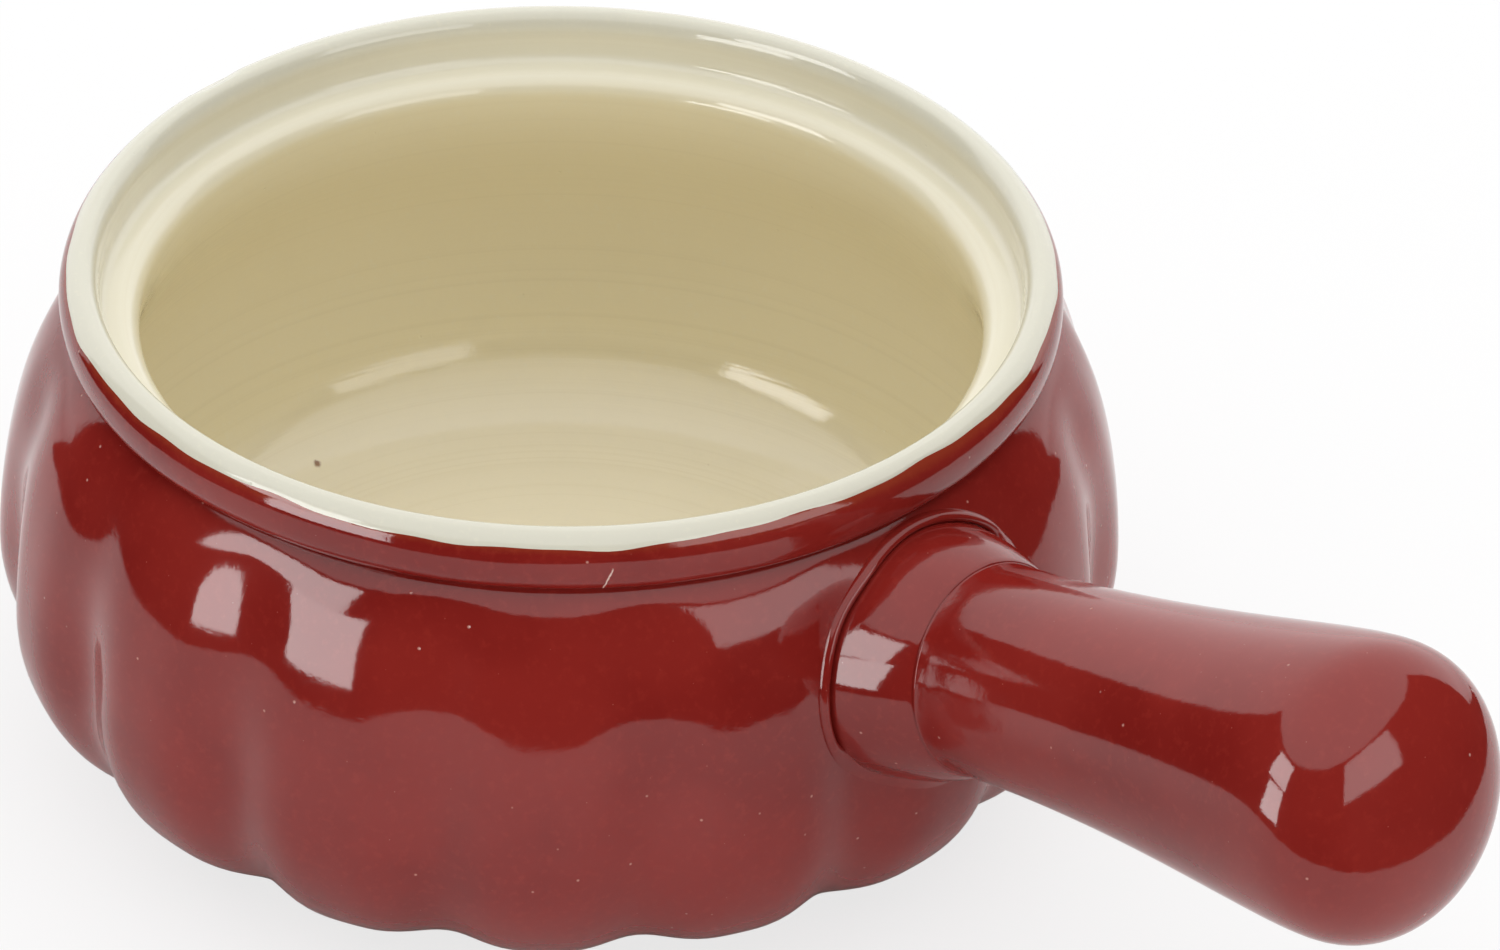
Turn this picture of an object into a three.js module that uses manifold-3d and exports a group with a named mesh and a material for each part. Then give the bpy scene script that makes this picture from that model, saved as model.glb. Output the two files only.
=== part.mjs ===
// One-handled soup bowl in glazed stoneware: a bowl lobed like a pumpkin, with a step inside its
// rim for a lid, and a hollow club-shaped grip that sits in a collar on the wall.
// Millimetres, +Z up, the handle towards +X, standing on z = 0.

import * as THREE from 'three';
import { mergeVertices } from 'three/addons/utils/BufferGeometryUtils.js';
import Module from 'manifold-3d';

const wasm = await Module();
wasm.setup();

// Rim and lip, measured over the glaze
const rimRadius = 59;
const rimHeight = 64;
const rimWidth = 4.7;
const rimRoundOut = 3;
const rimRoundUp = 4;
const rimInnerRound = 1.2;
const lipDrop = 7.8;
const neckInset = 2.1;

// Lobed wall outside
const bellyBulge = 8;
const bellyHeight = 24.5;
const baseTuck = 19.5;
const baseHeight = 2.4;
const shoulderRise = 6.4;
const shoulderOut = 8.45;
const shoulderDrop = 6.4;
const lobeCount = 16;
const lobeDepth = 2.6;
const neckGroove = 1.05;
const grooveSharpness = 1.9;
const neckFade = 9;
const bellyFadeStart = 12;
const bellyFade = 18;
const baseFade = 7;

// Lid gallery and the inside
const galleryDepth = 6.2;
const galleryFillet = 1.1;
const ledgeWidth = 4.7;
const mouthRound = 2.1;
const bellyWall = 6.6;
const floorThickness = 4.6;
const floorFilletOut = 17.5;
const floorFilletUp = 20;
const throatDrop = 8;
const throatRise = 13;

// Foot ring
const footInset = 3.4;
const footWidth = 5;
const footChamfer = 0.8;
const recessDepth = 1.8;

// Glaze coats, the angles of their edges, and the clearance between pieces that touch
const glazeThickness = 0.5;
const glazeLineAngle = 12;
const rimLineAngle = 46;
const seat = 0.3;

// Handle: its axis meets the wall below the neck and rises from there
const rootDrop = 15.4;
const handleRise = 13.55;
const creaseRadius = 12.4;
const collarStep = 2.7;
const collarReach = 6.75;
const collarSill = 0.6;
const collarBow = 0.15;
const collarEdge = 0.25;
const collarLand = 2.2;
const spigotWall = 1.8;
const spigotGap = 1.9;
const gripLength = 69.3;
const gripEndRadius = 17.3;
const gripEndRound = 12.1;
const gripEndSquareness = 2.25;
const gripRootStraight = 27;
const gripEndStraight = 8.6;
const gripWall = 4;
const ventRadius = 1.5;
const ventReach = 16;
const seamWidth = 1.2;
const seamHeight = 0.8;

// Facets round the pieces, and steps along the curves of their outlines
const segmentsPerLobe = 4;
const linerSegments = 48;
const handleSegments = 28;
const ventSegments = 8;
const baseSteps = 6;
const shoulderSteps = 5;
const lipSteps = 2;
const roundSteps = 2;
const throatSteps = 4;
const floorSteps = 5;
const collarSteps = 4;
const flankSteps = 7;
const gripEndSteps = 5;

const bowlSegments = lobeCount * segmentsPerLobe;
const galleryRadius = rimRadius - rimWidth;
const mouthRadius = galleryRadius - ledgeWidth;
const neckRadius = rimRadius - neckInset;
const neckHeight = rimHeight - lipDrop;
const bellyRadius = rimRadius + bellyBulge;
const baseRadius = bellyRadius - baseTuck;
const ledgeHeight = rimHeight - galleryDepth;
const insideRadius = bellyRadius - lobeDepth - bellyWall;
const floorHeight = baseHeight + floorThickness;
const footRadius = baseRadius - footInset;
const coat = glazeThickness + seat;
const rootHeight = neckHeight - rootDrop;
const collarRadius = creaseRadius + collarStep;
const collarBore = creaseRadius - collarLand;
const gripRoot = collarReach + seat;

const point = (radius, height) => new THREE.Vector2(radius, height);

// Points along an arc or ellipse, angles in degrees from the radial direction.
function arc(centre, radii, from, to, steps) {
  const start = THREE.MathUtils.degToRad(from);
  const end = THREE.MathUtils.degToRad(to);
  return new THREE.EllipseCurve(centre.x, centre.y, radii.x, radii.y, start, end, to < from).getPoints(steps);
}

const roundArc = (centre, radius, from, to, steps) => arc(centre, point(radius, radius), from, to, steps);

const bezier = (a, b, c, d, steps) => new THREE.CubicBezierCurve(a, b, c, d).getPoints(steps);

// Joins stretches of outline, without the point that two stretches share.
function joinPaths(...paths) {
  const joined = [];
  for (const next of paths.flat()) {
    if (joined.length === 0 || joined.at(-1).distanceTo(next) > 1e-6) {
      joined.push(next);
    }
  }
  return joined;
}

// The outline moved by a distance to its right, which is away from the material.
function offsetPath(path, distance) {
  const normals = path.slice(1).map((end, i) => {
    const along = end.clone().sub(path[i]).normalize();
    return point(along.y, -along.x);
  });
  return path.map((at, i) => {
    const before = normals[Math.max(i - 1, 0)];
    const after = normals[Math.min(i, normals.length - 1)];
    const mean = before.clone().add(after).normalize();
    const moved = at.clone().addScaledVector(mean, distance / mean.dot(before));
    return point(at.x === 0 ? 0 : moved.x, moved.y);
  });
}

// How deep the grooves between the lobes are at each point of an outline: shallow under the neck,
// then full round the belly.
const grooveDepths = (path) => path.map(({ x: radius, y: height }) => {
  const drop = neckHeight - height;
  const underNeck = THREE.MathUtils.smoothstep(drop, 0, neckFade);
  const towardsBelly = THREE.MathUtils.smoothstep(drop, bellyFadeStart, bellyFadeStart + bellyFade);
  const towardsBase = THREE.MathUtils.smoothstep(radius - baseRadius, 0, baseFade);
  return THREE.MathUtils.lerp(neckGroove * underNeck, lobeDepth, towardsBelly) * towardsBase;
});

// The angle is taken from the handle, which stands on the crest of a lobe.
const groove = (angle) => (0.5 - 0.5 * Math.cos(lobeCount * angle)) ** grooveSharpness;

// Turns an outline about Z. Where a row has a depth, it is drawn in by that much at the grooves.
function turn(outline, segments, depths = []) {
  const geometry = new THREE.LatheGeometry(outline, segments).rotateX(Math.PI / 2);
  const position = geometry.attributes.position;
  for (let i = 0; i < position.count; i += 1) {
    const row = i % outline.length;
    if (depths[row] > 0) {
      const angle = Math.atan2(position.getY(i), position.getX(i));
      const drawnIn = 1 - depths[row] * groove(angle) / outline[row].x;
      position.setX(i, position.getX(i) * drawnIn);
      position.setY(i, position.getY(i) * drawnIn);
    }
  }
  return geometry;
}

function toSolid(geometry) {
  geometry.deleteAttribute('normal');
  geometry.deleteAttribute('uv');
  const merged = mergeVertices(geometry);
  const mesh = new wasm.Mesh({
    numProp: 3,
    vertProperties: Float32Array.from(merged.attributes.position.array),
    triVerts: Uint32Array.from(merged.index.array),
  });
  return new wasm.Manifold(mesh);
}

function toMesh(name, solid, material) {
  const { vertProperties, triVerts } = solid.getMesh();
  const geometry = new THREE.BufferGeometry();
  geometry.setAttribute('position', new THREE.BufferAttribute(vertProperties, 3));
  geometry.setIndex(new THREE.BufferAttribute(triVerts, 1));
  geometry.computeVertexNormals();
  const mesh = new THREE.Mesh(geometry, material);
  mesh.name = name;
  return mesh;
}

// Outside over the glaze: the base curve, the shoulder up to the crease under the lip, then the lip
// up to the line on the rim where the cream starts.
const baseCentre = point(baseRadius, bellyHeight);
const baseRadii = point(baseTuck, bellyHeight - baseHeight);
const shoulder = bezier(
  point(bellyRadius, bellyHeight),
  point(bellyRadius, bellyHeight + shoulderRise),
  point(neckRadius + shoulderOut, neckHeight - shoulderDrop),
  point(neckRadius, neckHeight),
  shoulderSteps,
);
const rimRounds = point(rimRoundOut, rimRoundUp);
const rimCentre = point(rimRadius, rimHeight).sub(rimRounds);
const lipCentre = point(neckRadius, rimCentre.y);
const glazedOutside = joinPaths(
  arc(baseCentre, baseRadii, glazeLineAngle - 90, 0, baseSteps),
  shoulder,
  arc(lipCentre, point(neckInset, lipCentre.y - neckHeight), -90, 0, lipSteps),
  arc(rimCentre, rimRounds, 0, rimLineAngle, lipSteps),
);
const outside = joinPaths(arc(baseCentre, baseRadii, -90, glazeLineAngle - 90, 1), glazedOutside);

// Inside over the glaze: over the rim, down the gallery and the undercut wall, to the floor's middle.
const rimInnerCentre = point(galleryRadius + rimInnerRound, rimHeight - rimInnerRound);
const galleryCentre = point(galleryRadius - galleryFillet, ledgeHeight + galleryFillet);
const mouthCentre = point(mouthRadius + mouthRound, ledgeHeight - mouthRound);
const floorCentre = point(insideRadius - floorFilletOut, floorHeight + floorFilletUp);
const throat = bezier(
  point(mouthRadius, mouthCentre.y),
  point(mouthRadius, mouthCentre.y - throatDrop),
  point(insideRadius, floorCentre.y + throatRise),
  point(insideRadius, floorCentre.y),
  throatSteps,
);
const insideFrom = (angle) => joinPaths(
  arc(rimCentre, rimRounds, angle, 90, roundSteps),
  roundArc(rimInnerCentre, rimInnerRound, 90, 180, roundSteps),
  roundArc(galleryCentre, galleryFillet, 0, -90, roundSteps),
  roundArc(mouthCentre, mouthRound, 90, 180, roundSteps),
  throat,
  arc(floorCentre, point(floorFilletOut, floorFilletUp), 0, -90, floorSteps),
  [point(0, floorHeight)],
);

// Fired clay: the foot ring and its recess stay bare, the rest lies under the two glazes.
function bowlBody() {
  const recessRadius = footRadius - footWidth;
  const foot = [
    point(0, recessDepth),
    point(recessRadius, recessDepth),
    point(recessRadius, footChamfer),
    point(recessRadius + footChamfer, 0),
    point(footRadius - footChamfer, 0),
    point(footRadius, footChamfer),
    point(footRadius, baseHeight + coat),
  ];
  const underGlaze = offsetPath(joinPaths(outside, insideFrom(rimLineAngle)), -coat);
  const depths = [...foot.map(() => 0), ...grooveDepths(outside)];
  return toSolid(turn([...foot, ...underGlaze], bowlSegments, depths));
}

// Cream coat: along the face of the inside and back along its clay side. On the rim's rounding it
// stops the clearance short of the red coat.
function linerGlaze() {
  const rimGapAngle = THREE.MathUtils.radToDeg(seat / (rimRoundOut - glazeThickness));
  const face = insideFrom(rimLineAngle + rimGapAngle);
  const back = offsetPath(face, -glazeThickness).reverse();
  return toSolid(turn([...face, ...back, face[0]], linerSegments));
}

// The solid that a stretch of the lobed outside encloses, grown by a distance. With an overrun, its
// ends run straight on up and down.
function wallEnvelope(stretch, growth, overrun = 0) {
  const wall = offsetPath(stretch, growth);
  const depths = grooveDepths(stretch);
  const low = wall[0].y - overrun;
  const high = wall.at(-1).y + overrun;
  const below = overrun > 0 ? [point(wall[0].x, low)] : [];
  const above = overrun > 0 ? [point(wall.at(-1).x, high)] : [];
  const outline = [point(0, low), ...below, ...wall, ...above, point(0, high)];
  return toSolid(turn(outline, bowlSegments, [0, ...below.map(() => depths[0]), ...depths]));
}

// Radius of the outside at a height, on the crest of a lobe.
function crestRadius(height) {
  const above = outside.findIndex((at) => at.y > height);
  const low = outside[above - 1];
  const high = outside[above];
  return THREE.MathUtils.mapLinear(height, low.y, high.y, low.x, high.x);
}

// Lays a piece made along +X on the handle's axis, with its zero where the axis meets the wall.
const onHandle = (geometry) => geometry
  .rotateY(-THREE.MathUtils.degToRad(handleRise))
  .translate(crestRadius(rootHeight), 0, rootHeight);

// Turns an outline about the handle's axis. Its heights are distances out from the wall.
const turnOnHandle = (outline) => toSolid(
  onHandle(new THREE.LatheGeometry(outline, handleSegments).rotateZ(-Math.PI / 2)),
);

// A plug about the handle's axis that reaches from inside the wall to clear of it.
const plugThroughWall = (radius) => turnOnHandle([
  point(0, -collarRadius),
  point(radius, -collarRadius),
  point(radius, collarRadius),
  point(0, collarRadius),
]);

// Red coat: what lies between the glazed face and the same face sunk by the coat's thickness, with
// a hole for the collar.
function outerGlaze() {
  return wallEnvelope(glazedOutside, 0)
    .subtract(wallEnvelope(glazedOutside, -glazeThickness, glazeThickness))
    .subtract(plugThroughWall(collarRadius + seat));
}

// Collar luted to the wall: it tapers to the crease with a slight bow. Its root follows the lobes,
// and its bore holds the grip's spigot.
function handleCollar() {
  const wide = point(collarRadius, collarSill);
  const slim = point(creaseRadius + collarEdge, collarReach - collarEdge);
  const bowed = (share) => wide.clone().lerp(slim, share).add(point(collarBow, 0));
  const outline = [
    point(collarBore, -collarRadius),
    point(collarRadius, -collarRadius),
    ...bezier(wide, bowed(1 / 3), bowed(2 / 3), slim, collarSteps),
    point(creaseRadius, collarReach),
    point(collarBore, collarReach),
    point(collarBore, -collarRadius),
  ];
  return turnOnHandle(outline).subtract(wallEnvelope(outside, seat - coat));
}

// Outline of the grip from its root at the crease to the middle of its end, sunk by an inset.
function gripOutline(inset) {
  const full = gripRoot + gripLength - gripEndRound;
  const rootRadius = creaseRadius - inset;
  const endRadius = gripEndRadius - inset;
  const flank = bezier(
    point(rootRadius, gripRoot),
    point(rootRadius, gripRoot + gripRootStraight),
    point(endRadius, full - gripEndStraight),
    point(endRadius, full),
    flankSteps,
  );
  const power = 2 / gripEndSquareness;
  const end = Array.from({ length: gripEndSteps - 1 }, (_, i) => {
    const turned = ((i + 1) / gripEndSteps) * (Math.PI / 2);
    const out = (gripEndRound - inset) * Math.sin(turned) ** power;
    return point(endRadius * Math.cos(turned) ** power, full + out);
  });
  return [...flank, ...end, point(0, full + gripEndRound - inset)];
}

// Hollow slip-cast grip, open at its spigot, with a small vent underneath for the firing.
function handleGrip() {
  const spigotRadius = collarBore - seat;
  const spigotBore = spigotRadius - spigotWall;
  const outline = [
    point(spigotBore, spigotGap),
    point(spigotRadius, spigotGap),
    point(spigotRadius, gripRoot),
    ...gripOutline(0),
    ...gripOutline(gripWall).reverse(),
    point(spigotBore, gripRoot),
    point(spigotBore, spigotGap),
  ];
  const vent = new THREE.CylinderGeometry(ventRadius, ventRadius, gripEndRadius, ventSegments)
    .rotateX(Math.PI / 2)
    .translate(gripRoot + ventReach, 0, -gripEndRadius / 2);
  return turnOnHandle(outline).subtract(toSolid(onHandle(vent)));
}

// Roll of joining slip round the collar, lying on the glazed wall.
function slipSeam() {
  const inner = collarRadius + seat;
  return plugThroughWall(inner + seamWidth)
    .subtract(plugThroughWall(inner))
    .intersect(wallEnvelope(outside, seat + seamHeight))
    .subtract(wallEnvelope(outside, seat));
}

const stoneware = new THREE.MeshStandardMaterial({ color: 0xc9b291, roughness: 0.85, metalness: 0 });
const creamGlaze = new THREE.MeshStandardMaterial({ color: 0xe4dfcc, roughness: 0.12, metalness: 0 });
const redGlaze = new THREE.MeshStandardMaterial({ color: 0x80221f, roughness: 0.1, metalness: 0 });

const bowl = new THREE.Group();
bowl.add(
  toMesh('bowl_body', bowlBody(), stoneware),
  toMesh('liner_glaze', linerGlaze(), creamGlaze),
  toMesh('outer_glaze', outerGlaze(), redGlaze),
  toMesh('handle_collar', handleCollar(), redGlaze),
  toMesh('handle_grip', handleGrip(), redGlaze),
  toMesh('slip_seam', slipSeam(), redGlaze),
);

// The origin is under the middle of the whole outline, bowl and handle together.
const outlineBox = new THREE.Box3().setFromObject(bowl, true);
bowl.position.x = -(outlineBox.min.x + outlineBox.max.x) / 2;

export default bowl;
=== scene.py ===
import bisect
import math

import bmesh
import bpy
from mathutils import Matrix, Vector


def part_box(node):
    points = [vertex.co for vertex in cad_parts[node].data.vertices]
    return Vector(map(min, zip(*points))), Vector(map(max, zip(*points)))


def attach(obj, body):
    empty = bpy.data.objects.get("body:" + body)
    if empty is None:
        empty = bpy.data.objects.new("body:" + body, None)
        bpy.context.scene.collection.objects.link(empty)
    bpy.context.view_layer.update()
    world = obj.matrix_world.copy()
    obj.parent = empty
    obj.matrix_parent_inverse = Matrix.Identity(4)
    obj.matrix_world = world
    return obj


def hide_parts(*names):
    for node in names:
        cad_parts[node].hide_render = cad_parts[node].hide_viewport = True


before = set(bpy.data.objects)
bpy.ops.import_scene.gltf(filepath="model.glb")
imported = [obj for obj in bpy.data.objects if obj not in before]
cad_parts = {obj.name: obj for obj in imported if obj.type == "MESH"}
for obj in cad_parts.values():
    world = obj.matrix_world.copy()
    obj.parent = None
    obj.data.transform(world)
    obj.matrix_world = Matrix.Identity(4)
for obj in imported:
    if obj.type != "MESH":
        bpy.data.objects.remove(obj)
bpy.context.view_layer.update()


# Bowl body: buff stoneware, slip-cast in a mould that gives the wall its sixteen lobes and the rim
# its ledge for a lid. Glaze covers all of it but the foot ring and the recess inside that ring,
# which are sponged clean so that the pot does not stick to the kiln shelf.

MM = 0.001

glaze_low, glaze_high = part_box("outer_glaze")
belly_radius = glaze_high.y / MM
rim_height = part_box("liner_glaze")[1].z / MM
bowl_axis = Matrix.Translation((glaze_low.x + glaze_high.y, 0, 0))

rim_radius = 59.0
rim_round = Vector((3.0, 4.0))
lip_drop = 7.2
lip_squareness = 2.6
lip_low_turn = 80.0
lip_steps = 10
neck_inset = 2.1
belly_height = 24.5
base_tuck = 19.5
base_height = 2.4
shoulder_rise = 6.4
shoulder_out = 8.45
shoulder_drop = 6.4
shoulder_end = 0.99
lobes = 16
lobe_depth = 2.6
neck_groove = 1.05
groove_sharpness = 1.9
neck_fade = 9.0
belly_fade_start = 12.0
belly_fade = 18.0
base_fade = 7.0
hand_sway = 0.1
sway_waves = ((3, 1.3, 0.0), (5, 0.0, 1 / 11), (9, 0.0, -1 / 7))

neck = Vector((rim_radius - neck_inset, rim_height - lip_drop))
base_radius = belly_radius - base_tuck
rim_centre = Vector((rim_radius, rim_height)) - rim_round


def arc(centre, radii, start, end, steps):
    """Points on an ellipse, from one angle to another in degrees from the radial direction."""
    turns = [math.radians(start + (end - start) * i / steps) for i in range(steps + 1)]
    return [
        Vector((centre[0] + radii[0] * math.cos(t), centre[1] + radii[1] * math.sin(t)))
        for t in turns
    ]


def curve(a, b, c, d, steps, end=1.0):
    """Points on a cubic curve, from its start to a share of its length."""
    shares = [end * i / steps for i in range(steps + 1)]
    corners = [Vector(p) for p in (a, b, c, d)]
    weights = [((1 - t) ** 3, 3 * t * (1 - t) ** 2, 3 * t * t * (1 - t), t ** 3) for t in shares]
    return [sum((w * p for w, p in zip(row, corners)), Vector((0, 0))) for row in weights]


def join(*stretches):
    """One outline of several stretches, without the points that two of them share."""
    nearest = 1e-6
    joined = []
    for spot in (spot for stretch in stretches for spot in stretch):
        if not joined or (joined[-1] - spot).length > nearest:
            joined.append(spot)
    return joined


def offset(outline, distance):
    """The outline moved to its right, away from the clay."""
    steps = [(b - a).normalized() for a, b in zip(outline, outline[1:])]
    normals = [Vector((s.y, -s.x)) for s in steps]
    moved = []
    for i, spot in enumerate(outline):
        before, after = normals[max(i - 1, 0)], normals[min(i, len(normals) - 1)]
        mean = (before + after).normalized()
        moved.append(spot + mean * distance / mean.dot(before))
    return moved


def smooth(value, span):
    """A smooth step from 0 to 1 as the value goes from 0 to the span."""
    share = min(max(value / span, 0), 1)
    return share * share * (3 - 2 * share)


base_round = (base_tuck, belly_height - base_height)
base_arc = arc((base_radius, belly_height), base_round, -90, 0, steps=26)
shoulder = curve(
    (belly_radius, belly_height),
    (belly_radius, belly_height + shoulder_rise),
    (neck.x + shoulder_out, neck.y - shoulder_drop),
    neck,
    steps=30,
    end=shoulder_end,
)
lip_power = 2 / lip_squareness
lip_turns = [math.radians(lip_low_turn * (1 - i / lip_steps)) for i in range(lip_steps + 1)]
lip = [
    Vector((
        neck.x + neck_inset * math.cos(t) ** lip_power,
        rim_centre.y - (rim_centre.y - neck.y) * math.sin(t) ** lip_power,
    ))
    for t in lip_turns
]
crease = curve(shoulder[-1], neck, neck, lip[0], steps=6)
outside = join(base_arc, shoulder, crease, lip)


def groove(angle):
    """How far into the groove between two lobes an angle lies: 0 on a crest, 1 in a groove."""
    return (0.5 - 0.5 * math.cos(lobes * angle)) ** groove_sharpness


def sway(angle, height):
    """The small unevenness of a cast and hand-sponged wall, always inwards."""
    waves = [math.sin(count * angle + start + climb * height) for count, start, climb in sway_waves]
    return hand_sway * (sum(waves) / len(waves) - 1)


def draw(spot, angle):
    """How far the wall is drawn in at a point of its outline, at an angle round the bowl."""
    drop = neck.y - spot.y
    shallow = neck_groove * smooth(drop, neck_fade)
    depth = shallow + (lobe_depth - shallow) * smooth(drop - belly_fade_start, belly_fade)
    return depth * smooth(spot.x - base_radius, base_fade) * groove(angle) - sway(angle, spot.y)


def drawn_in(outline, angle):
    """An outline beside the outside one, drawn in at the grooves as that is."""
    return [spot - Vector((draw(true, angle), 0)) for spot, true in zip(outline, outside)]


rim_width = 4.7
rim_inner_round = Vector((1.6, 2.8))
gallery_depth = 6.2
gallery_fillet = 1.1
ledge_width = 4.7
mouth_round = 2.5
belly_wall = 6.6
floor_thickness = 4.6
floor_fillet = (17.5, 20.0)
floor_rings = (36.0, 30.0, 22.0, 12.0, 0.0)
throat_drop = 8.0
throat_rise = 13.0

gallery_radius = rim_radius - rim_width
mouth_radius = gallery_radius - ledge_width
ledge_height = rim_height - gallery_depth
inside_radius = belly_radius - lobe_depth - belly_wall
floor_height = base_height + floor_thickness
rim_inner_centre = (gallery_radius + rim_inner_round.x, rim_height - rim_inner_round.y)
gallery_centre = (gallery_radius - gallery_fillet, ledge_height + gallery_fillet)
mouth_centre = (mouth_radius + mouth_round, ledge_height - mouth_round)
floor_centre = (inside_radius - floor_fillet[0], floor_height + floor_fillet[1])
inside = join(
    arc(rim_inner_centre, rim_inner_round, 90, 180, steps=12),
    arc(gallery_centre, (gallery_fillet,) * 2, 0, -90, steps=10),
    arc(mouth_centre, (mouth_round,) * 2, 90, 180, steps=14),
    curve(
        (mouth_radius, mouth_centre[1]),
        (mouth_radius, mouth_centre[1] - throat_drop),
        (inside_radius, floor_centre[1] + throat_rise),
        (inside_radius, floor_centre[1]),
        steps=28,
    ),
    arc(floor_centre, floor_fillet, 0, -90, steps=24),
    [Vector((r, floor_height)) for r in floor_rings],
)

sharp_angle = math.radians(60)
merge_distance = 0.0001 * MM


def turned(name, outline_at, columns, axis):
    """A closed piece: an outline in mm, which outline_at gives for each angle, round an axis."""
    made = bmesh.new()
    rows = []
    for i in range(columns):
        angle = 2 * math.pi * i / columns
        across = Vector((math.cos(angle), math.sin(angle), 0))
        spots = [(across * p.x + Vector((0, 0, p.y))) * MM for p in outline_at(angle)]
        rows.append([made.verts.new(axis @ spot) for spot in spots])
    for row, following in zip(rows, rows[1:] + rows[:1]):
        for a, b, c, d in zip(row, following, following[1:], row[1:]):
            made.faces.new((a, b, c, d))
    bmesh.ops.remove_doubles(made, verts=made.verts, dist=merge_distance)
    loose = [edge for edge in made.edges if not edge.link_faces]
    bmesh.ops.delete(made, geom=loose, context="EDGES")
    bmesh.ops.recalc_face_normals(made, faces=made.faces)
    mesh = bpy.data.meshes.new(name)
    made.to_mesh(mesh)
    made.free()
    mesh.shade_smooth()
    mesh.set_sharp_from_angle(angle=sharp_angle)
    piece = bpy.data.objects.new(name, mesh)
    bpy.context.scene.collection.objects.link(piece)
    return piece


def settle(piece, material, node):
    """Gives a piece its finish and its place in the frame, where it stands for a solid."""
    piece.data.materials.append(material)
    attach(piece, "root")
    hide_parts(node)


class Field:
    """A value, colour or vector in a material. Values are summed and scaled as written."""

    def __init__(self, socket):
        self.socket = socket

    def node(self, kind, settings=None, inputs=None, output=0):
        """Adds a node: its settings first, then the values or links of its sockets."""
        tree = self.socket.id_data
        made = tree.nodes.new(kind)
        for name, setting in (settings or {}).items():
            setattr(made, name, setting)
        for name, value in (inputs or {}).items():
            socket = next(s for s in made.inputs if s.enabled and name in (s.identifier, s.name))
            if isinstance(value, Field):
                tree.links.new(value.socket, socket)
            else:
                socket.default_value = value
        shown = [s for s in made.outputs if s.enabled]
        return Field(shown[output] if isinstance(output, int) else made.outputs[output])

    def maths(self, operation, first, second):
        inputs = {"Value": first, "Value_001": second}
        return self.node("ShaderNodeMath", {"operation": operation}, inputs)

    def __add__(self, other):
        return self.maths("ADD", self, other)

    __radd__ = __add__

    def __sub__(self, other):
        return self.maths("SUBTRACT", self, other)

    def __rsub__(self, other):
        return self.maths("SUBTRACT", other, self)

    def __mul__(self, other):
        return self.maths("MULTIPLY", self, other)

    __rmul__ = __mul__

    def __truediv__(self, other):
        return self.maths("DIVIDE", self, other)

    def __rtruediv__(self, other):
        return self.maths("DIVIDE", other, self)

    def __abs__(self):
        return self.node("ShaderNodeMath", {"operation": "ABSOLUTE"}, {"Value": self})

    def to(self, socket):
        self.socket.id_data.links.new(self.socket, socket)


def new_finish(name, roughness):
    """A material with its shader, and the place on the pot that its patterns follow."""
    material = bpy.data.materials.new(name)
    material.use_nodes = True
    nodes = material.node_tree.nodes
    shader = nodes["Principled BSDF"]
    shader.inputs["Roughness"].default_value = roughness
    place = Field(nodes.new("ShaderNodeTexCoord").outputs["Object"])
    return material, shader, place


def noise(place, size, detail=2.0, roughness=0.5):
    """Soft noise from about 0.3 to 0.7, with features of a size in mm."""
    inputs = {"Vector": place, "Scale": 1 / (size * MM), "Detail": detail, "Roughness": roughness}
    return place.node("ShaderNodeTexNoise", None, inputs, "Fac")


def ease(value, low, high):
    """0 where a value is below low, 1 where it is above high, smooth between."""
    inputs = {"Value": value, "From Min": low, "From Max": high}
    return value.node("ShaderNodeMapRange", {"interpolation_type": "SMOOTHSTEP"}, inputs)


def blend(first, second, share):
    """Two colours, mixed."""
    inputs = {"Factor": share, "A": first, "B": second}
    return share.node("ShaderNodeMix", {"data_type": "RGBA"}, inputs)


def specks(place, spacing, size):
    """Small round specks strewn through the surface: 1 in the middle of each, 0 outside."""
    core = 0.3
    inputs = {"Vector": place, "Scale": 1 / (spacing * MM)}
    away = place.node("ShaderNodeTexVoronoi", None, inputs, "Distance")
    return 1 - ease(away, core * size / spacing, size / spacing)


def bump(height, depth):
    """A surface normal that follows a height from 0 to 1, with a full depth in mm."""
    return height.node("ShaderNodeBump", None, {"Height": height, "Distance": depth * MM})


def clay_finish():
    """Bare fired clay: sandy, toasted in clouds and flecked with iron."""
    pale_sand = (0.66, 0.52, 0.36, 1)
    dark_sand = (0.47, 0.35, 0.23, 1)
    toast = (0.42, 0.24, 0.12, 1)
    iron = (0.10, 0.05, 0.03, 1)
    toast_strength = 0.35
    iron_strength = 0.8
    material, shader, place = new_finish("bare_stoneware", roughness=0.85)
    grain = noise(place, size=0.35, detail=4.0, roughness=0.7)
    cloud = noise(place, size=14.0, detail=3.0)
    flecks = specks(place, spacing=2.2, size=0.32)
    sand = blend(dark_sand, pale_sand, ease(grain, 0.3, 0.7))
    toasted = blend(sand, toast, ease(cloud, 0.5, 0.75) * toast_strength)
    blend(toasted, iron, flecks * iron_strength).to(shader.inputs["Base Color"])
    bump(grain + 0.6 * noise(place, size=1.4), depth=0.12).to(shader.inputs["Normal"])
    return material


coat = 0.8
foot_inset = 3.4
foot_width = 5.0
foot_round = 0.8
foot_fillet = 0.9
recess_depth = 1.8
recess_fillet = 0.7
recess_rings = (0.0, 14.0, 26.0, 34.0)
clay_first_row = 3


def under_glaze(stretch):
    """A stretch of the glazed face, sunk to the clay below it."""
    return offset(stretch, -coat)


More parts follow.
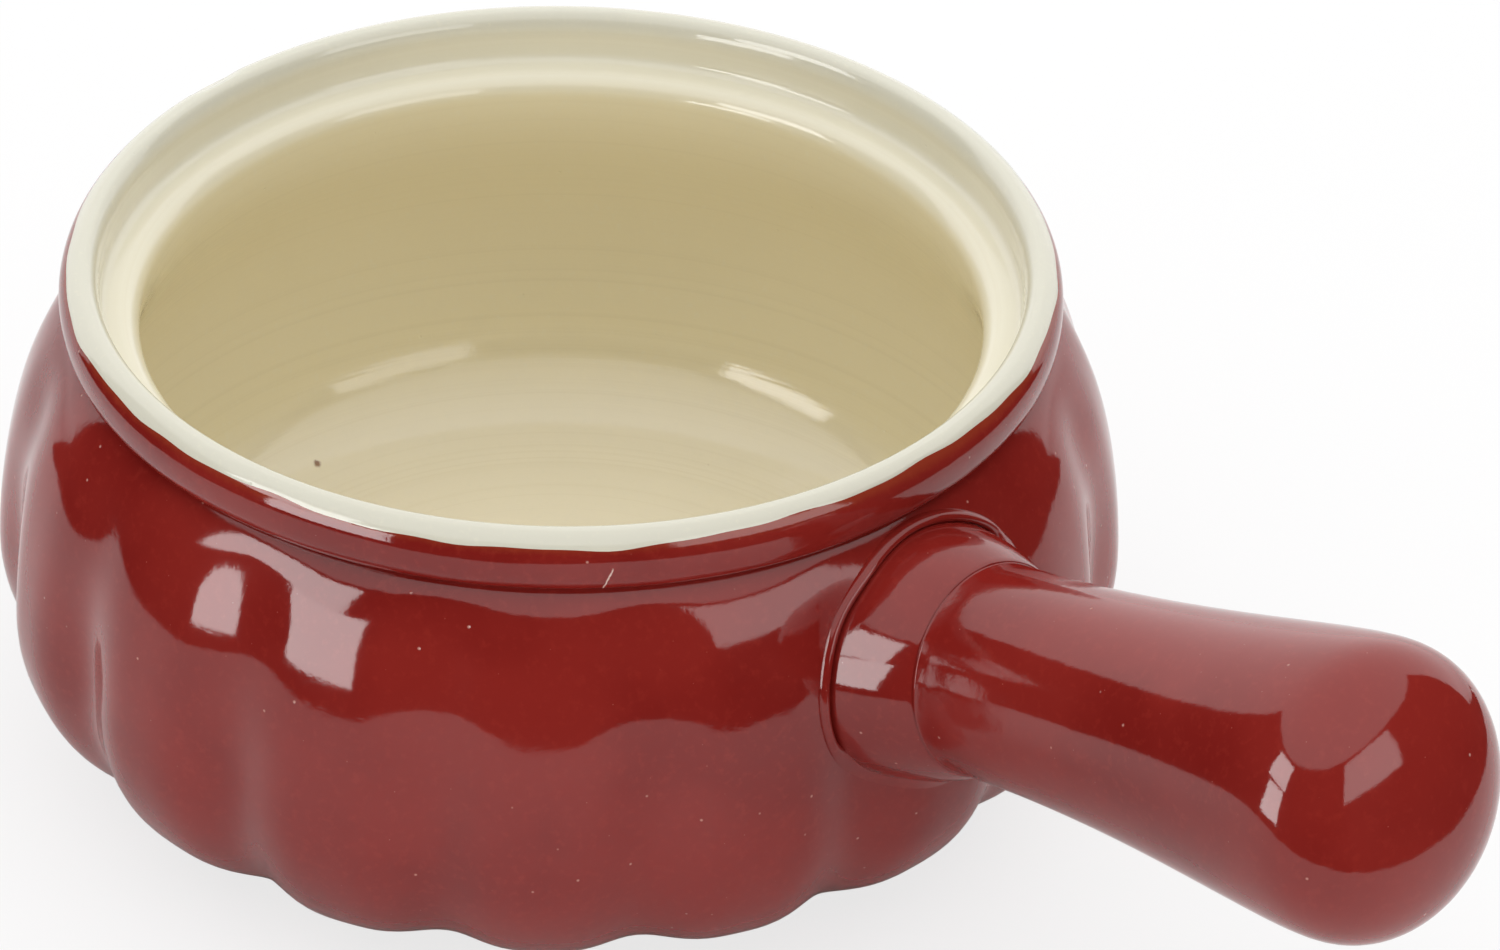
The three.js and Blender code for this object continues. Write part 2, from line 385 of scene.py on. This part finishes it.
def clay_outline(angle):
    """The clay from the recess round the foot, up the wall, over the rim and down inside."""
    foot_radius = base_radius - foot_inset
    foot_inside = foot_radius - foot_width
    round_out = (foot_round,) * 2
    recess_corner = (foot_inside - recess_fillet, recess_depth - recess_fillet)
    foot_corner = (foot_radius + foot_fillet, base_height + coat - foot_fillet)
    foot = join(
        [Vector((r, recess_depth)) for r in recess_rings],
        arc(recess_corner, (recess_fillet,) * 2, 90, 0, steps=5),
        arc((foot_inside + foot_round, foot_round), round_out, 180, 270, steps=6),
        arc((foot_radius - foot_round, foot_round), round_out, -90, 0, steps=6),
        arc(foot_corner, (foot_fillet,) * 2, 180, 90, steps=5),
    )
    wall = drawn_in(under_glaze(outside), angle)
    rim_top = under_glaze(join(arc(rim_centre, rim_round, 0, 90, steps=8), inside))
    floor_middle = Vector((0, floor_height - coat))
    return join(foot, wall[clay_first_row:], rim_top[1:-1], [floor_middle])


bowl_body = turned("bowl_body_shaped", clay_outline, 10 * lobes, bowl_axis)
settle(bowl_body, clay_finish(), "bowl_body")


# Liner glaze: a glossy cream glaze poured in and swilled round, over the floor, the ledge and the
# rim. It is yellowest on the deep wall and paler on the floor, the ledge and the rim. The floor is
# also painted lighter, as painted light, and the rim painted darker, as painted shade against the
# light on its top. It ends in an uneven line where it laps the red at the rim's outer edge.

glaze_thickness = 0.5
rim_line_angle = 46.0
rim_line_waves = ((5.0, 2, 0.9), (3.5, 5, 2.2), (2.0, 13, 0.3), (1.6, 23, 1.1), (1.0, 41, 0.0))
lap = 0.06
lap_rise_rows = 2
lap_fall_rows = 4
rim_dent_angle = math.radians(184)
rim_dent_depth = 0.34
rim_dent_reach = 4.5
iron_mark = (-84.35, 3.55, 9.0)


def rim_line(angle):
    """Where the cream ends on the rim's outer round, in degrees up from level."""
    waves = [size * math.sin(count * angle + start) for size, count, start in rim_line_waves]
    return rim_line_angle + sum(waves)


def rim_dent(angle):
    """How deep the rim is dented in mm: one flat spot at the back, pressed in by a finger."""
    away = math.degrees(math.remainder(angle - rim_dent_angle, 2 * math.pi))
    return rim_dent_depth * (1 - smooth(abs(away), rim_dent_reach))


def liner_outline(angle):
    """The cream coat from the rim's outer edge to the floor's middle, and back under itself."""
    over_rim = arc(rim_centre, rim_round, rim_line(angle), 90, steps=14)
    face = join(over_rim, inside)
    shift = lap - rim_dent(angle)
    top = len(over_rim) - 1
    lapped = []
    for i, p in enumerate(over_rim):
        share = smooth(i, lap_rise_rows) * smooth(top - i, lap_fall_rows)
        lapped.append(p + (p - rim_centre).normalized() * shift * share)
    shown = join(lapped[:-1], face[top:])
    back = offset(face, -glaze_thickness)
    back[-1] = Vector((0, floor_height - glaze_thickness))
    return join(shown, list(reversed(back)), shown[:1])


def height_at(place):
    """Height in mm above the table."""
    return place.node("ShaderNodeSeparateXYZ", None, {"Vector": place}, "Z") / MM


def away_from(place, spot):
    """Distance in mm from a spot that is given in mm."""
    inputs = {"Vector": place, "Vector_001": [c * MM for c in spot]}
    return place.node("ShaderNodeVectorMath", {"operation": "DISTANCE"}, inputs, "Value") / MM


def off_axis(place):
    """Distance in mm from the bowl's axis."""
    inputs = {"Vector": place, "Vector_001": (1, 1, 0)}
    flat = place.node("ShaderNodeVectorMath", {"operation": "MULTIPLY"}, inputs)
    return away_from(flat, bowl_axis.translation / MM)


def cream_finish():
    """Cream glaze over faint rings left by wiping the cast, with iron specks and pinholes."""
    # The rim's cream is greyer, and darker as painted shade against the strong light on the rim's
    # top.
    rim_cream_painted_shade = (0.68, 0.66, 0.55, 1)
    gallery_cream = (0.79, 0.75, 0.60, 1)
    deep_cream = (0.81, 0.73, 0.505, 1)
    # The floor's cream is paler, and lighter as painted light where light falls in from above.
    floor_cream_painted_light = (0.86, 0.80, 0.635, 1)
    ring_cream = (0.66, 0.58, 0.38, 1)
    fleck_cream = (0.80, 0.76, 0.60, 1)
    iron = (0.17, 0.10, 0.05, 1)
    rust = (0.22, 0.08, 0.03, 1)
    ring_strength = 0.22
    fleck_strength = 0.25
    iron_strength = 0.75
    rust_strength = 0.85
    rim_fade = (rim_height - 3.4, rim_height - 0.5)
    ledge_fade = (ledge_height - 3.0, ledge_height + 0.5)
    floor_fade = (floor_height + 1.0, floor_height + 9.0)
    mark_fade = (0.5, 0.9)
    material, shader, place = new_finish("cream_glaze", roughness=0.07)
    height = height_at(place)
    cloud = noise(place, size=22.0, detail=3.0)
    uneven = height + 1.2 * (cloud - 0.5)
    below_rim = 1 - ease(uneven, *rim_fade)
    below_ledge = 1 - ease(uneven, *ledge_fade)
    on_floor = 1 - ease(height + 2.0 * (cloud - 0.5), *floor_fade)
    # Painted shade: the rim's top takes the darkened cream.
    upper = blend(rim_cream_painted_shade, gallery_cream, below_rim)
    # Painted light: the floor takes the lightened cream.
    body = blend(blend(upper, deep_cream, below_ledge), floor_cream_painted_light, on_floor)
    round_axis = {"X": off_axis(place) * MM, "Z": height * MM}
    section = place.node("ShaderNodeCombineXYZ", None, round_axis)
    turning = noise(section, size=1.1, detail=3.0, roughness=0.65)
    ringed = blend(body, ring_cream, ease(turning, 0.5, 0.75) * below_rim * ring_strength)
    flecks = ease(noise(place, size=0.8), 0.55, 0.8)
    flecked = blend(ringed, fleck_cream, flecks * fleck_strength)
    speckled = blend(flecked, iron, specks(place, spacing=12.0, size=0.26) * iron_strength)
    mark = 1 - ease(away_from(place, iron_mark) + 0.5 * noise(place, size=0.7), *mark_fade)
    blend(speckled, rust, mark * rust_strength).to(shader.inputs["Base Color"])
    aside = {"Vector": place, "Vector_001": (3, 1, 2)}
    elsewhere = place.node("ShaderNodeVectorMath", {"operation": "ADD"}, aside)
    pits = specks(elsewhere, spacing=5.0, size=0.26)
    ripple = 0.5 * noise(place, size=9.0) + 0.12 * noise(place, size=1.2)
    bump(ripple + 0.25 * turning - 0.4 * pits, depth=0.10).to(shader.inputs["Normal"])
    (0.05 + 0.06 * cloud).to(shader.inputs["Roughness"])
    return material


liner = turned("liner_glaze_shaped", liner_outline, 256, bowl_axis)
settle(liner, cream_finish(), "liner_glaze")


# Outer glaze: a glossy dark red glaze that the pot is dipped in up to the rim, over the lobes and
# the lip. It breaks to orange where it thins at the rim, and ends in a rolled edge on the
# underside, above the foot.

line_row = 4
line_roll = 0.35
line_shares = (0.0, 0.25, 0.5, 0.75)
over_rim_steps = 8
thread_middle = Vector((9.6, -36.3, 58.5))
thread_angle = math.radians(38)
thread_lean = 0.35
thread_wander = 0.9
thread_half_width = (0.05, 0.14)
thread_half_length = (1.7, 2.1)


def outer_outline(angle):
    """The red coat from its rolled edge up the wall to the rim, and back under itself."""
    wall = drawn_in(outside, angle)[line_row:]
    sunk = drawn_in(offset(outside, -glaze_thickness), angle)[line_row:]
    clay = drawn_in(offset(outside, -coat), angle)[line_row]
    end = rim_line(angle)
    over_rim = arc(rim_centre, rim_round, 0, end, over_rim_steps)[1:]
    sway_there = Vector((sway(angle, rim_centre.y), 0))
    over = [
        p + sway_there * smooth(end - i * end / over_rim_steps, end)
        for i, p in enumerate(over_rim, 1)
    ]
    sunk_round = rim_round - Vector((glaze_thickness,) * 2)
    under = arc(rim_centre, sunk_round, 0, end, over_rim_steps)[1:]
    out = wall[0] - clay
    roll = [
        clay + Vector((out.x * t - line_roll * (1 - t) * t, out.y * t))
        for t in line_shares
    ]
    face = join(roll, wall, over)
    back = join(sunk[1:], under)
    return join(face, list(reversed(back)), face[:1])


def thread(place):
    """A fine crooked thread of pale glaze that ran down the lip in front: 1 on it, 0 elsewhere."""
    across = [c / MM for c in (math.sin(thread_angle), math.cos(thread_angle), 0)]
    inputs = {"Vector": place, "Vector_001": across}
    aside = place.node("ShaderNodeVectorMath", {"operation": "DOT_PRODUCT"}, inputs, "Value")
    down = thread_middle.z - height_at(place)
    wander = thread_wander * noise(place, size=1.6, detail=3.0, roughness=0.7)
    crooked = wander + thread_lean * down - thread_wander / 2
    line = 1 - ease(abs(aside - thread_middle.dot(across) * MM + crooked), *thread_half_width)
    near = 1 - ease(away_from(place, thread_middle), *thread_half_length)
    return line * near


def red_finish():
    """Dark red glaze, clouded and grained, with pale specks in it, broken to orange on the rim."""
    deep_red = (0.202, 0.0122, 0.0094, 1)
    clear_red = (0.254, 0.0190, 0.0142, 1)
    grain_red = (0.31, 0.030, 0.021, 1)
    thin_orange = (0.30, 0.050, 0.018, 1)
    pale_speck_colour = (0.62, 0.30, 0.24, 1)
    dull_powder = (0.50, 0.20, 0.16, 1)
    pale_thread = (0.80, 0.58, 0.50, 1)
    grain_strength = 0.35
    thin_strength = 0.5
    pale_speck_strength = 0.8
    powder_strength = 0.7
    thread_strength = 0.85
    thin_fade = (rim_height - 2.2, rim_height - 1.1)
    rim_edge = (rim_radius + 1.0, rim_radius + 3.0)
    material, shader, place = new_finish("red_glaze", roughness=0.06)
    cloud = noise(place, size=26.0, detail=3.0)
    fine = noise(place, size=1.1, detail=3.0, roughness=0.6)
    # Pale specks strewn over the red, each lighter and sunk a little in the bump.
    pale_specks = specks(place, spacing=4.2, size=0.24)
    powder = specks(place, spacing=2.1, size=0.09)
    body = blend(deep_red, clear_red, ease(cloud, 0.32, 0.62))
    grained = blend(body, grain_red, ease(fine, 0.5, 0.75) * grain_strength)
    thin = ease(height_at(place) + 0.8 * (fine - 0.5), *thin_fade)
    on_rim = 1 - ease(off_axis(place), *rim_edge)
    edged = blend(grained, thin_orange, thin * on_rim * thin_strength)
    specked = blend(edged, pale_speck_colour, pale_specks * pale_speck_strength)
    powdered = blend(specked, dull_powder, powder * powder_strength)
    threaded = blend(powdered, pale_thread, thread(place) * thread_strength)
    threaded.to(shader.inputs["Base Color"])
    relief = 0.6 * noise(place, size=10.0) + 0.10 * fine - 0.3 * pale_specks
    bump(relief, depth=0.10).to(shader.inputs["Normal"])
    (0.045 + 0.05 * cloud).to(shader.inputs["Roughness"])
    return material


red_glaze = red_finish()
outer = turned("outer_glaze_shaped", outer_outline, 20 * lobes, bowl_axis)
settle(outer, red_glaze, "outer_glaze")


# Handle collar: a short ring of clay luted to the wall with slip, with a bore that takes the grip.
# It tapers to the crease with a slight bow. Its root is cut to the lobes and was pressed out a
# little on one side, and it is dipped red with the rest.

root_drop = 16.0
handle_rise = math.radians(13.55)
crease_radius = 12.4
collar_step = 2.7
collar_reach = 6.88
collar_edge = 0.25
collar_land = 2.2
collar_flare = 1.5
flare_side = math.radians(95)
flare_reach = 65.0
collar_sink = 0.25
collar_sill = 0.3
collar_bow = 0.5

collar_radius = crease_radius + collar_step
collar_bore = crease_radius - collar_land
root_height = neck.y - root_drop
wall_heights = [p.y for p in outside]


def wall_radius(height, angle):
    """Radius of the lobed wall in mm, at a height and at an angle from the handle."""
    top_row = len(base_arc) + len(shoulder) - 2
    row = min(max(bisect.bisect(wall_heights, height), 1), top_row)
    low, high = outside[row - 1], outside[row]
    there = low.lerp(high, (height - low.y) / (high.y - low.y))
    return there.x - draw(there, angle)


along = Vector((math.cos(handle_rise), 0, math.sin(handle_rise)))
upward = Vector((-math.sin(handle_rise), 0, math.cos(handle_rise)))
sideways = along.cross(upward)
handle_foot = bowl_axis @ (Vector((wall_radius(root_height, 0), 0, root_height)) * MM)
handle_turn = Matrix((upward, sideways, along)).transposed().to_4x4()
handle_axis = Matrix.Translation(handle_foot) @ handle_turn
handle_in_bowl = bowl_axis.inverted() @ handle_axis


def wall_reach(radius, angle):
    """How far out along the handle the wall is met, in mm, at a radius and angle about its axis."""
    halvings = 24
    near, far = -2.0 * collar_radius, collar_reach
    for _ in range(halvings):
        middle = (near + far) / 2
        spot = Vector((radius * math.cos(angle), radius * math.sin(angle), middle)) * MM
        there = handle_in_bowl @ spot / MM
        if math.hypot(there.x, there.y) < wall_radius(there.z, math.atan2(there.y, there.x)):
            near = middle
        else:
            far = middle
    return near


def root_radius(angle):
    """Radius of the collar's root, which was pressed out on one side as it was set on the wall."""
    away = math.degrees(math.remainder(angle - flare_side, 2 * math.pi))
    return collar_radius + collar_flare * (1 - smooth(abs(away), flare_reach))


def collar_outline(angle):
    """The collar across its root to the wall's face, up the taper and back into its bore."""
    outer_radius = root_radius(angle)
    root = [
        Vector((r, wall_reach(r, angle) - collar_sink))
        for r in (collar_bore, (collar_bore + outer_radius) / 2, outer_radius)
    ]
    low = root[-1] + Vector((0, collar_sink + collar_sill))
    high = Vector((crease_radius + collar_edge, collar_reach - collar_edge))
    run = high - low
    bow = Vector((run.y, -run.x)).normalized() * collar_bow
    taper = curve(low, low + run / 3 + bow, low + run * 2 / 3 + bow, high, steps=18)
    land = [Vector((r, collar_reach)) for r in (crease_radius, collar_bore)]
    return join(root, taper, land, root[:1])


collar = turned("handle_collar_shaped", collar_outline, 96, handle_axis)
settle(collar, red_glaze, "handle_collar")


# Handle grip: a hollow slip-cast club that swells to a broad round end. Its spigot sits in the
# collar's bore, and a small vent underneath lets the air out in the kiln.

grip_end_radius = 17.2
grip_end_round = 12.1
grip_end_squareness = 2.25
grip_end_steps = 20
grip_root_straight = 27.0
grip_end_straight = 8.6
grip_length = 69.31
grip_wall = 4.0
grip_fillet = 0.2
spigot_wall = 1.8
spigot_gap = 1.9
spigot_clear = 0.3
vent_radius = 1.5
vent_reach = 16.0
vent_sides = 32
cut_merge_distance = 0.001 * MM


def grip_face(inset):
    """The grip's outline from the crease to the middle of its end, sunk by an inset."""
    full = collar_reach + grip_length - grip_end_round
    slim, wide = crease_radius - inset, grip_end_radius - inset
    end_depth = grip_end_round - inset
    flank = curve(
        (slim, collar_reach),
        (slim, collar_reach + grip_root_straight),
        (wide, full - grip_end_straight),
        (wide, full),
        steps=36,
    )
    power = 2 / grip_end_squareness
    turns = [math.radians(90 * i / grip_end_steps) for i in range(1, grip_end_steps)]
    end = [
        Vector((wide * math.cos(t) ** power, full + end_depth * math.sin(t) ** power))
        for t in turns
    ]
    return join(flank, end, [Vector((0, full + end_depth))])


def grip_outline(angle):
    """The spigot, the grip's face out to its end, and back along its hollow."""
    spigot_radius = collar_bore - spigot_clear
    spigot_bore = spigot_radius - spigot_wall
    spigot = [
        Vector((spigot_bore, spigot_gap)),
        Vector((spigot_radius, spigot_gap)),
        Vector((spigot_radius, collar_reach)),
    ]
    fillet_centre = (crease_radius + grip_fillet, collar_reach + grip_fillet)
    fillet = arc(fillet_centre, (grip_fillet,) * 2, -90, -180, steps=5)
    face = [p for p in grip_face(0) if p.y > collar_reach + grip_fillet]
    hollow = list(reversed(grip_face(grip_wall)))[::2]
    return join(spigot, fillet, face, hollow, [Vector((spigot_bore, collar_reach))], spigot[:1])


def drilled(piece, radius, length, middle):
    """Cuts a round hole through a piece, along the Z of a matrix about its middle."""
    made = bmesh.new()
    bmesh.ops.create_cone(
        made,
        cap_ends=True,
        segments=vent_sides,
        radius1=radius * MM,
        radius2=radius * MM,
        depth=length * MM,
        matrix=middle,
    )
    mesh = bpy.data.meshes.new("drill")
    made.to_mesh(mesh)
    made.free()
    drill = bpy.data.objects.new("drill", mesh)
    bpy.context.scene.collection.objects.link(drill)
    cut = piece.modifiers.new("hole", "BOOLEAN")
    cut.object = drill
    cut.solver = "EXACT"
    whole = piece.evaluated_get(bpy.context.evaluated_depsgraph_get())
    shaped = bpy.data.meshes.new_from_object(whole)
    made = bmesh.new()
    made.from_mesh(shaped)
    bmesh.ops.remove_doubles(made, verts=made.verts, dist=cut_merge_distance)
    made.to_mesh(shaped)
    made.free()
    piece.modifiers.clear()
    piece.data = shaped
    bpy.data.objects.remove(drill)


grip = turned("handle_grip_shaped", grip_outline, 96, handle_axis)
vent_middle = (-grip_end_radius / 2 * MM, 0, (collar_reach + vent_reach) * MM)
vent = handle_axis @ Matrix.Translation(vent_middle)
drilled(grip, vent_radius, grip_end_radius, vent @ Matrix.Rotation(math.pi / 2, 4, "Y"))
settle(grip, red_glaze, "handle_grip")


# Slip seam: the roll of joining slip squeezed out round the collar's root. It stands up as a fine
# bead above and on one side, is smoothed with a finger to a fillet elsewhere, and is glazed over.

seam_gap = 0.03
seam_width = 1.4
seam_height = 0.75
seam_sink = 0.2
seam_foot = 0.1
seam_fillet = 1.4
seam_lean = 0.42
seam_side = math.radians(30)
seam_overlap = 0.1
seam_fade = 0.4
seam_steps = 12


def seam_outline(angle):
    """A bead where the slip stood up, passing into a smoothed fillet on the other side."""
    inner = root_radius(angle) + seam_gap
    share = smooth(math.cos(angle - seam_side) + seam_overlap, seam_fade)
    bead = []
    for i in range(seam_steps + 1):
        turn = math.pi * i / seam_steps
        inward = 0.5 + 0.5 * math.cos(turn)
        radius = inner + seam_width * (1 - inward)
        fillet = (1 - share) * seam_fillet * inward ** 2
        sunk = seam_sink * (1 - math.sin(turn))
        lift = share * seam_height * math.sin(turn) + fillet - sunk
        bead.append(Vector((radius - seam_lean * fillet, wall_reach(radius, angle) + lift)))
    foot = Vector((bead[0].x, wall_reach(inner, angle) - seam_sink - seam_foot))
    return join(list(reversed(bead)), [foot], bead[-1:])


seam = turned("slip_seam_shaped", seam_outline, 128, handle_axis)
settle(seam, red_glaze, "slip_seam")


# Studio: a white table inside a white tent. The tent is open on the camera's side to a dark room,
# where bright panels hang for the glaze to mirror, and a soft lamp either side of the camera lights
# the front.

view_azimuth = math.radians(46.62)
white = (1, 1, 1, 1)
black = (0, 0, 0, 1)


def seen_from_bowl(azimuth, elevation, distance):
    """A place in the studio, from its angles in degrees to the right of the camera and upwards."""
    turn, rise = view_azimuth + math.radians(azimuth), math.radians(elevation)
    ahead = Vector((math.sin(turn), -math.cos(turn), 0)) * math.cos(rise)
    return bowl_axis.translation + (ahead + Vector((0, 0, math.sin(rise)))) * distance


def stage_sheet(name, corners, faces, colour, glow=0.0):
    """A plain matt sheet of the studio, which may glow."""
    mesh = bpy.data.meshes.new(name)
    mesh.from_pydata(corners, [], faces)
    sheet = bpy.data.objects.new(name, mesh)
    bpy.context.scene.collection.objects.link(sheet)
    finish, shader, _ = new_finish(name, roughness=1.0)
    shader.inputs["Base Color"].default_value = colour
    shader.inputs["Specular IOR Level"].default_value = 0.0
    shader.inputs["Emission Color"].default_value = white
    shader.inputs["Emission Strength"].default_value = glow
    mesh.materials.append(finish)
    return sheet


table_reach = 3.0
table_colour = (0.90, 0.90, 0.90, 1)
table_white = 0.76
table_signs = ((-1, -1), (1, -1), (1, 1), (-1, 1))
table_corners = [(x * table_reach, y * table_reach, 0) for x, y in table_signs]
table = stage_sheet("table", table_corners, [(0, 1, 2, 3)], table_colour)
table_nodes = table.active_material.node_tree.nodes
seen = Field(table_nodes.new("ShaderNodeLightPath").outputs["Is Camera Ray"])
matt = Field(table_nodes["Principled BSDF"].outputs["BSDF"])
pure = seen.node("ShaderNodeEmission", None, {"Color": white, "Strength": 1.0})
table_shaders = {"Fac": table_white * seen, "Shader": matt, "Shader_001": pure}
table_top = seen.node("ShaderNodeMixShader", None, table_shaders)
table_top.to(table_nodes["Material Output"].inputs["Surface"])

dark_colour = (0.012, 0.012, 0.012, 1)
dark_near = 0.25
dark_distance = 0.80
dark_half_angle = 118
dark_low = 0.002
dark_floor_low = 0.001
dark_height = 0.68
dark_columns = 24
dark_turns = [dark_half_angle * (2 * i / dark_columns - 1) for i in range(dark_columns + 1)]
dark_row = len(dark_turns)
dark_faces = [(i, i + 1, i + 1 + dark_row, i + dark_row) for i in range(dark_columns)]


def dark_sheet(name, edges):
    """A dark band round the camera's side, between two edges given as distance and height."""
    corners = [
        seen_from_bowl(turn, 0, away) + Vector((0, 0, height))
        for away, height in edges
        for turn in dark_turns
    ]
    sheet = stage_sheet(name, corners, dark_faces, dark_colour)
    sheet.visible_camera = False
    return sheet


dark_sheet("dark_side", ((dark_distance, dark_low), (dark_distance, dark_height)))
dark_floor = dark_sheet("dark_floor", ((dark_near, dark_floor_low), (dark_distance, dark_low)))
dark_floor.visible_diffuse = False
dark_floor.visible_shadow = False

for name, azimuth, away, width, low, high, glow in (
    ("soft_box_low", -46, 0.33, 0.15, 0.02, 0.155, 7.4),
    ("soft_box_left", -60, 0.70, 0.40, 0.285, 0.56, 6.8),
    ("soft_box_right", 43, 0.70, 0.50, 0.22, 0.56, 2.8),
):
    turn = view_azimuth + math.radians(azimuth)
    aside = Vector((math.cos(turn), math.sin(turn), 0)) * width / 2
    foot = seen_from_bowl(azimuth, 0, away)
    ends = ((-1, low), (1, low), (1, high), (-1, high))
    corners = [foot + side * aside + Vector((0, 0, height)) for side, height in ends]
    panel = stage_sheet(name, corners, [(0, 1, 2, 3)], black, glow)
    panel.visible_camera = False
    panel.visible_diffuse = False
    panel.visible_shadow = False

lamp_distance = 0.70
lamp_elevation = 15
lamp_size = 0.34
lamp_radiance = 3.0
for name, azimuth in (("lamp_left", -50), ("lamp_right", 40)):
    lamp = bpy.data.lights.new(name, "AREA")
    lamp.size = lamp_size
    lamp.energy = lamp_radiance * math.pi * lamp_size ** 2
    stand = bpy.data.objects.new(name, lamp)
    bpy.context.scene.collection.objects.link(stand)
    stand.location = seen_from_bowl(azimuth, lamp_elevation, lamp_distance)
    facing = bowl_axis.translation - stand.location
    stand.rotation_mode = "QUATERNION"
    stand.rotation_quaternion = facing.to_track_quat("-Z", "Y")
    stand.visible_camera = False
    stand.visible_glossy = False

tent_light = 1.38
tent = bpy.data.worlds.new("tent")
tent.use_nodes = True
tent_cloth = tent.node_tree.nodes["Background"]
tent_cloth.inputs["Color"].default_value = white
tent_cloth.inputs["Strength"].default_value = tent_light
bpy.context.scene.world = tent


# Camera: on the photograph's line of sight, in front of the handle and above the rim, with a long
# lens. It is aimed a little to the right of the bowl's axis, so that the frame holds the handle.

view_elevation = math.radians(34.19)
view_roll = math.radians(1.437)
view_distance = 1.0
view_focus_height = 0.035
view_right = 0.02259
view_up = -0.00142
view_lens = 201.5
film_width = 36.0
nearest_seen = 0.01

view_middle = bowl_axis.translation + Vector((0, 0, view_focus_height))
view_back = Vector((
    math.sin(view_azimuth) * math.cos(view_elevation),
    -math.cos(view_azimuth) * math.cos(view_elevation),
    math.sin(view_elevation),
))
right = Vector((math.cos(view_azimuth), math.sin(view_azimuth), 0))
above = view_back.cross(right)
camera = bpy.data.objects.new("camera", bpy.data.cameras.new("camera"))
camera.data.lens = view_lens
camera.data.sensor_width = film_width
camera.data.clip_start = nearest_seen
bpy.context.scene.collection.objects.link(camera)
camera.location = view_middle + view_back * view_distance
aim = view_middle + right * view_right + above * view_up - camera.location
roll = Matrix.Rotation(view_roll, 3, "Z").to_quaternion()
camera.rotation_mode = "QUATERNION"
camera.rotation_quaternion = aim.to_track_quat("-Z", "Y") @ roll
bpy.context.scene.camera = camera
bpy.context.scene.view_settings.view_transform = "Standard"
